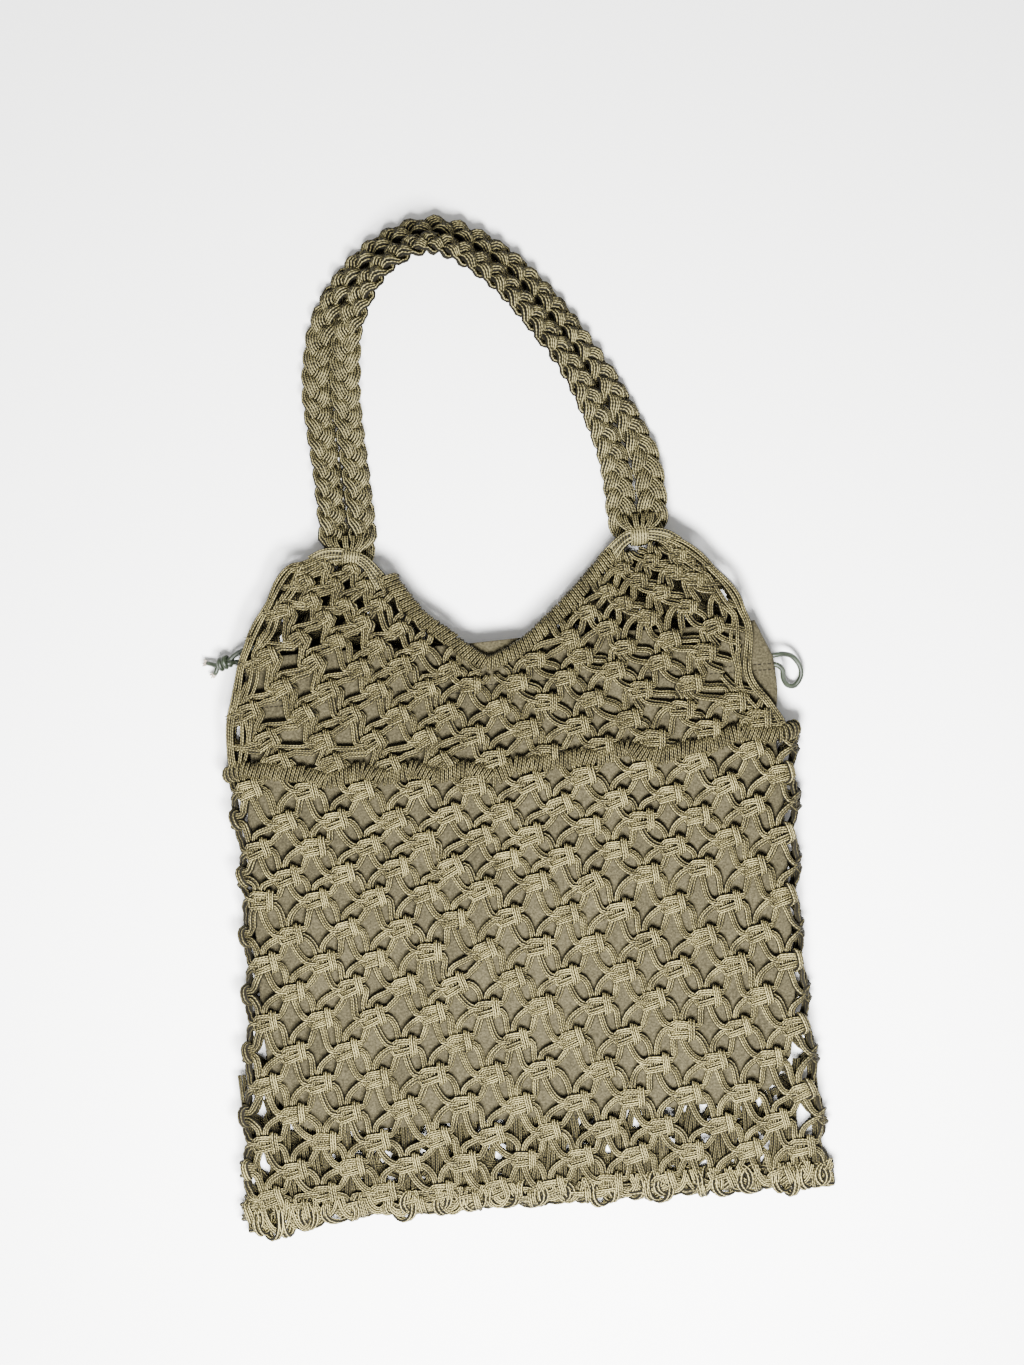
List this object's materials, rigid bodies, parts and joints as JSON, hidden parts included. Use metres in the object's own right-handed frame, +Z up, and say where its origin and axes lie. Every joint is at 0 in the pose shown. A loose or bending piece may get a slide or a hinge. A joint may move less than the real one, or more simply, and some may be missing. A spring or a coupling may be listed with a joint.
{
  "type": "macrame shoulder bag",
  "caption": "Flat-lying macrame shoulder bag: knotted net body with a wrapped ridge, V-neck yoke, double plait strap and a cotton drawstring pouch inside.",
  "frame": {"origin": "middle of the bag's base as it lies on a floor, under the centre of its outline, free drawcord ends left out", "axes": "+X across the bag to the viewer's right, +Y along the bag from its bottom edge towards the strap, +Z up off the floor"},
  "size_m": [0.3365, 0.5636, 0.0348],
  "materials": {
    "cord": "ladder-knit macrame cord, olive khaki with pale ribs",
    "cotton": "plain woven cotton, warm grey khaki",
    "drawcord": "round braided cord, grey green"
  },
  "bodies": {
    "root": {"net_body": "cord", "bottom_edge": "cord", "ridge_band": "cord", "yoke_front": "cord", "yoke_back": "cord", "neck_edge_front": "cord", "neck_edge_back": "cord", "strap_knot_left": "cord", "strap_knot_right": "cord", "strap_plait_outer": "cord", "strap_plait_inner": "cord", "lining_pouch": "cotton", "drawcord_loop": "drawcord", "drawcord_strand_upper": "drawcord", "drawcord_strand_lower": "drawcord", "drawcord_knot": "drawcord", "drawcord_tail_long": "drawcord", "drawcord_tail_short": "drawcord"}
  },
  "joints": []
}
